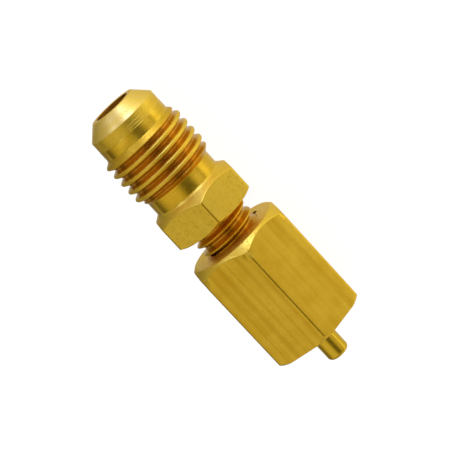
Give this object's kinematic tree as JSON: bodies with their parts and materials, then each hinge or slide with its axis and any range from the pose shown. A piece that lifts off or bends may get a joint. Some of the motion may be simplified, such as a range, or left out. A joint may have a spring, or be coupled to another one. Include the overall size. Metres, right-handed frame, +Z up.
{
  "type": "cylinder needle valve",
  "caption": "Brass hex body that screws onto a gas cylinder, with a flare-threaded stem that screws into it and feeds a needle out of its far end.",
  "frame": {"origin": "on the common axis, in the plane of the hex body's socket end", "axes": "+X along the axis, from the socket end towards the flare nose; +Z up, square to the flat of the hex body opposite the one it lies on; +Y towards a corner of both hexagons"},
  "size_m": [0.0414, 0.0146, 0.0126],
  "materials": {
    "body_brass": "drawn bar flats, turned ends",
    "stem_brass": "drawn bar flats, fine turning lines",
    "needle_brass": "ground rod",
    "seal_rubber": "matte moulded"
  },
  "bodies": {
    "body": {"hex_body": "body_brass", "socket_gasket": "seal_rubber"},
    "seal": {"stem_seal": "seal_rubber"},
    "stem": {"flare_stem": "stem_brass", "needle": "needle_brass"}
  },
  "joints": [
    {"name": "stem_feed", "type": "slide", "parent": "body", "child": "seal", "axis": [1, 0, 0], "range_m": [-0.00187, 0.00094]},
    {"name": "stem_turn", "type": "hinge", "parent": "seal", "child": "stem", "pos_m": [0.0088, 0, 0], "axis": [1, 0, 0], "range_deg": [-540.3, 270.2]}
  ],
  "couplings": [
    {"joint": "stem_turn", "follows": "stem_feed", "rad_per_m": 5026.5}
  ]
}
